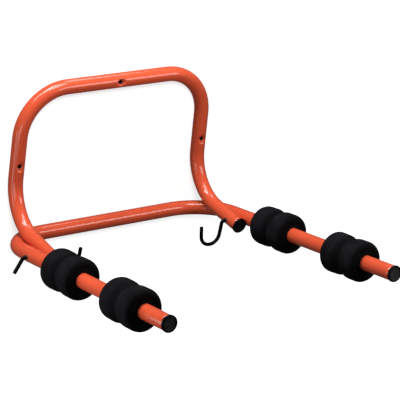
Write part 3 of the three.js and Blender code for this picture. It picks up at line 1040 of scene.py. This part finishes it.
class RACK_OT_grips(bpy.types.Operator):
    """Makes the four foam grips, two on each arm"""

    bl_idname = "rack.grips"
    bl_label = "Foam Grips"

    def execute(self, context):
        scene = context.scene
        tube, sizes = scene.rack_tube, scene.rack_grips
        for seed, name in enumerate(("left_rear", "right_rear", "left_front", "right_front"), 1):
            side, place = name.split("_")
            side, distance = SIDES[side], getattr(sizes, name)
            middle = arm_point(tube, side, distance if place == "rear" else tube.arm_length - distance)
            piece = foam_grip(name + "_foam", tube, sizes, middle, arm_direction(tube, side), seed)
            finished(piece, scene, "foam", "arms", name + "_grip")
        return {"FINISHED"}


class RACK_OT_hooks(bpy.types.Operator):
    """Bends the two wire hooks, whose shanks are the pins of the arms"""

    bl_idname = "rack.hooks"
    bl_label = "Hooks"

    def execute(self, context):
        scene = context.scene
        for name, side in SIDES.items():
            path = hook_path(scene.rack_tube, scene.rack_hooks, side)
            piece = bent_wire(name + "_wire_hook", path, scene.rack_hooks)
            finished(piece, scene, "hook_wire", name + "_hook", name + "_hook")
        return {"FINISHED"}


def flat_sheet(name, corners, material):
    """A sheet of the stage that neither lights the rack nor shows in its reflections."""
    data = bpy.data.meshes.new(name)
    data.from_pydata(corners, [], [(0, 1, 2, 3)])
    data.materials.append(material)
    made = bpy.data.objects.new(name, data)
    made.visible_diffuse = made.visible_glossy = False
    bpy.context.scene.collection.objects.link(made)
    return made


def pale_surface(name, lift, zone=None, fade=0.0):
    """Matt pale surface, lifted towards white for the camera and clear from behind.

    A wall is lifted to full white outside its zone, given as its half width and its foot, over the fade.
    """
    material = bpy.data.materials.new(name)
    tree = empty_tree(material)
    level = lift
    if zone:
        axes = node(tree, "ShaderNodeSeparateXYZ", {0: object_place(tree)}).outputs
        aside = range_node(tree, math_node(tree, "ABSOLUTE", axes["X"]), lift, 1.0, zone[0], zone[0] + fade)
        below = range_node(tree, axes["Z"], lift, 1.0, zone[1], zone[1] - fade)
        level = math_node(tree, "MAXIMUM", aside, below)
    seen = node(tree, "ShaderNodeLightPath").outputs["Is Camera Ray"]
    glow = {"Color": (1.0, 1.0, 1.0, 1.0), "Strength": math_node(tree, "MULTIPLY", seen, level)}
    glow = node(tree, "ShaderNodeEmission", glow).outputs[0]
    matt = node(tree, "ShaderNodeBsdfDiffuse", {"Color": (0.8, 0.8, 0.8, 1.0)}).outputs[0]
    pale = node(tree, "ShaderNodeAddShader", {0: matt, 1: glow}).outputs[0]
    behind = node(tree, "ShaderNodeNewGeometry").outputs["Backfacing"]
    clear = node(tree, "ShaderNodeBsdfTransparent").outputs[0]
    result = node(tree, "ShaderNodeMixShader", {0: behind, 1: pale, 2: clear}).outputs[0]
    node(tree, "ShaderNodeOutputMaterial", {"Surface": result})
    return material


def area_light(receivers, name, place, aim, power, width, height):
    """A soft lamp at a place, turned to an aim, that lights only the objects of the receivers' collection."""
    data = bpy.data.lights.new(name, "AREA")
    data.shape, data.size, data.size_y, data.energy = "RECTANGLE", width, height, power
    lamp = bpy.data.objects.new(name, data)
    back, nearly_up = unit(np.array(place) - np.array(aim)), (0.0, 0.05, 1.0)
    side = unit(np.cross(nearly_up, back))
    turn = np.stack([side, np.cross(back, side), back], axis=1)
    lamp.matrix_world = Matrix.Translation(place) @ Matrix(turn).to_4x4()
    lamp.visible_camera = False
    lamp.light_linking.receiver_collection = receivers
    bpy.context.scene.collection.objects.link(lamp)


def studio_world(ambient):
    """A world that the camera sees as white, and that lights the rack evenly and weakly."""
    world = bpy.data.worlds.new("Studio World")
    tree = empty_tree(world)
    seen = node(tree, "ShaderNodeLightPath").outputs["Is Camera Ray"]
    weak, full = (
        node(tree, "ShaderNodeBackground", {"Color": (1.0, 1.0, 1.0, 1.0), "Strength": strength}).outputs[0]
        for strength in (ambient, 1.0)
    )
    both = node(tree, "ShaderNodeMixShader", {0: seen, 1: weak, 2: full}).outputs[0]
    node(tree, "ShaderNodeOutputWorld", {"Surface": both})
    return world


class RACK_OT_stage(bpy.types.Operator):
    """Sets up the white wall, the pale floor and the soft lights"""

    bl_idname = "rack.stage"
    bl_label = "Stage"

    def execute(self, context):
        scene, studio = context.scene, context.scene.rack_studio
        rack, sheets = bpy.data.collections.new("Lit Rack"), bpy.data.collections.new("Lit Sheets")
        for piece in scene.objects:
            if piece.type == "MESH":
                rack.objects.link(piece)
        reach, back, low, high = 3.0, 0.0005, studio.floor_height, 2.0
        wall = [(-reach, back, low), (reach, back, low), (reach, back, high), (-reach, back, high)]
        floor = [(-reach, -2 * reach, low), (reach, -2 * reach, low), (reach, back, low), (-reach, back, low)]
        white = pale_surface("White Wall", studio.wall_lift, studio.wall_zone, studio.wall_fade)
        backdrop = flat_sheet("backdrop_wall", wall, white)
        backdrop.visible_shadow = False
        ground = flat_sheet("studio_floor", floor, pale_surface("Pale Floor", studio.floor_lift))
        sheets.objects.link(backdrop)
        sheets.objects.link(ground)
        middle, arms = (0.0, 0.0, -0.1), (0.0, -0.2, -0.15)
        corner, left_arm, left_tip = (-0.5, -0.2, -0.15), (-0.2, -0.4, -0.2), (-0.2, -0.6, -0.15)
        for lamp in (
            ("Top Light", (-0.06, -0.2, 0.85), arms, studio.top_power, 0.7, 0.45),
            ("Top Left Light", (-0.5, 0.02, 0.82), corner, studio.top_left_power, 0.7, 0.2),
            ("Right Light", (0.48, -0.83, 0.24), middle, studio.right_power, 0.56, 0.3),
            ("Back Light", (0.4, 0.3, 0.82), middle, studio.back_power, 0.3, 0.3),
            ("Left Light", (-0.62, -0.42, -0.17), left_arm, studio.left_power, 0.35, 0.3),
            ("Side Light", (-0.72, -0.08, -0.3), left_tip, studio.side_power, 0.25, 0.4),
        ):
            area_light(rack, *lamp)
        area_light(sheets, "Wall Light", (-1.8, -3.1, 2.25), middle, studio.wall_power, 0.8, 0.8)
        scene.world = studio_world(studio.ambient)
        scene.view_settings.view_transform = "Standard"
        return {"FINISHED"}


class RACK_PT_panel(bpy.types.Panel):
    """Lists the rack's pieces and sizes in the sidebar"""

    bl_label = "Wall Rack"
    bl_space_type = "VIEW_3D"
    bl_region_type = "UI"
    bl_category = "Wall Rack"

    def draw(self, context):
        for operator in OPERATORS:
            self.layout.operator(operator.bl_idname)
        for name in GROUPS:
            box = self.layout.box()
            group = getattr(context.scene, name)
            for key in group.bl_rna.properties.keys():
                if key not in ("rna_type", "name"):
                    box.prop(group, key)


OPERATORS = (
    RACK_OT_camera, RACK_OT_frame, RACK_OT_arms, RACK_OT_caps, RACK_OT_grips, RACK_OT_hooks, RACK_OT_stage,
)
GROUPS = {
    "rack_tube": TubeSizes,
    "rack_holes": HoleSizes,
    "rack_hooks": HookSizes,
    "rack_caps": CapSizes,
    "rack_grips": GripSizes,
    "rack_finishes": Finishes,
    "rack_studio": Studio,
}


def register():
    for name, group in GROUPS.items():
        bpy.utils.register_class(group)
        setattr(bpy.types.Scene, name, PointerProperty(type=group))
    for kind in (*OPERATORS, RACK_PT_panel):
        bpy.utils.register_class(kind)


def unregister():
    for kind in (RACK_PT_panel, *reversed(OPERATORS)):
        bpy.utils.unregister_class(kind)
    for name, group in reversed(GROUPS.items()):
        delattr(bpy.types.Scene, name)
        bpy.utils.unregister_class(group)


def main():
    register()
    bpy.ops.rack.camera()
    bpy.ops.rack.frame()
    bpy.ops.rack.arms()
    bpy.ops.rack.caps()
    bpy.ops.rack.grips()
    bpy.ops.rack.hooks()
    bpy.ops.rack.stage()


if __name__ == "__main__":
    main()
